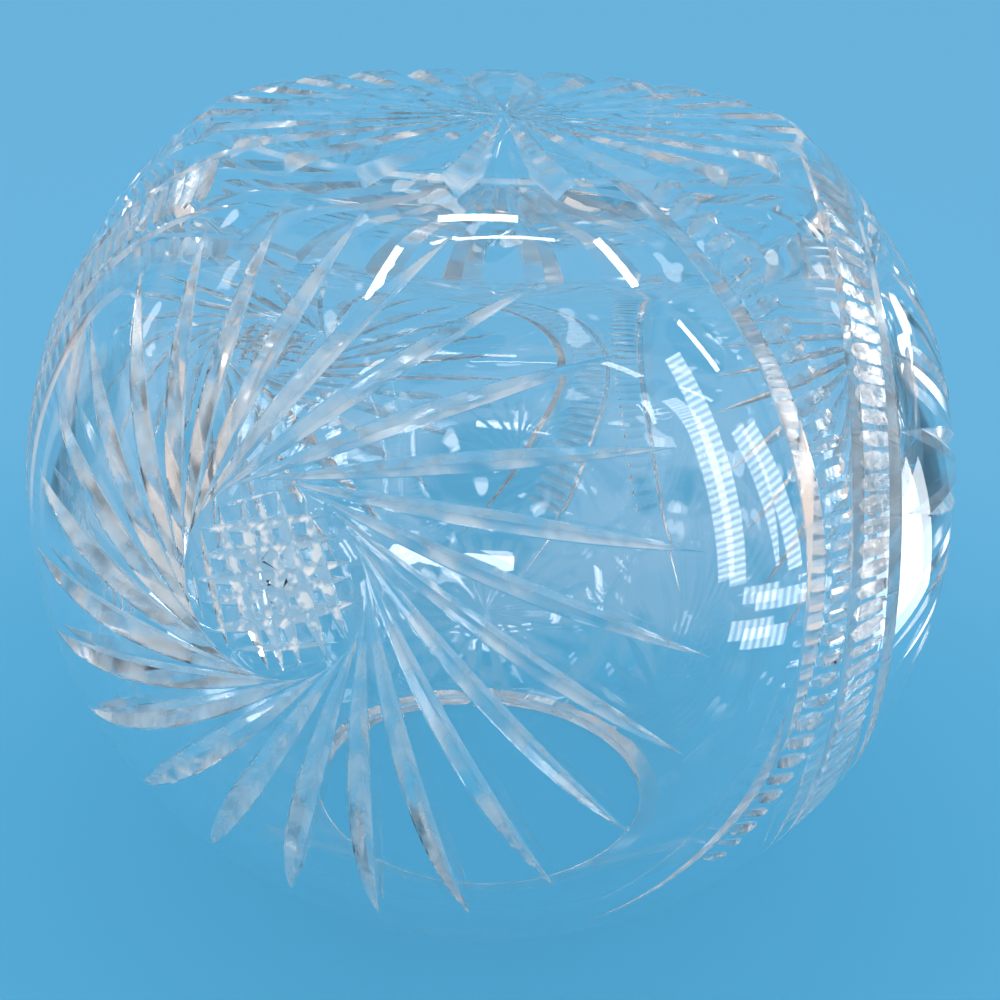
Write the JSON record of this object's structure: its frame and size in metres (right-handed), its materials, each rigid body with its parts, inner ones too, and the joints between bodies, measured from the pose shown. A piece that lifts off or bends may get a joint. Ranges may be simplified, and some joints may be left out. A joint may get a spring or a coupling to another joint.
{
  "type": "rose bowl vase",
  "caption": "Round cut crystal rose bowl with a narrowed mouth, a flat star-cut base, pinwheels of curved mitre cuts and broad split bands.",
  "frame": {"origin": "centre of the mouth rim's plane, which the bowl stands on as it is shown", "axes": "+Z from the mouth to the star-cut base along the axis of the bowl; one pinwheel faces -Y. In use the bowl is turned over, and its base stands on the table"},
  "size_m": [0.152, 0.152, 0.128],
  "materials": {
    "cut_crystal": "polished clear lead crystal with polished mitre cuts"
  },
  "bodies": {
    "root": {"crystal_bowl": "cut_crystal"}
  },
  "joints": []
}
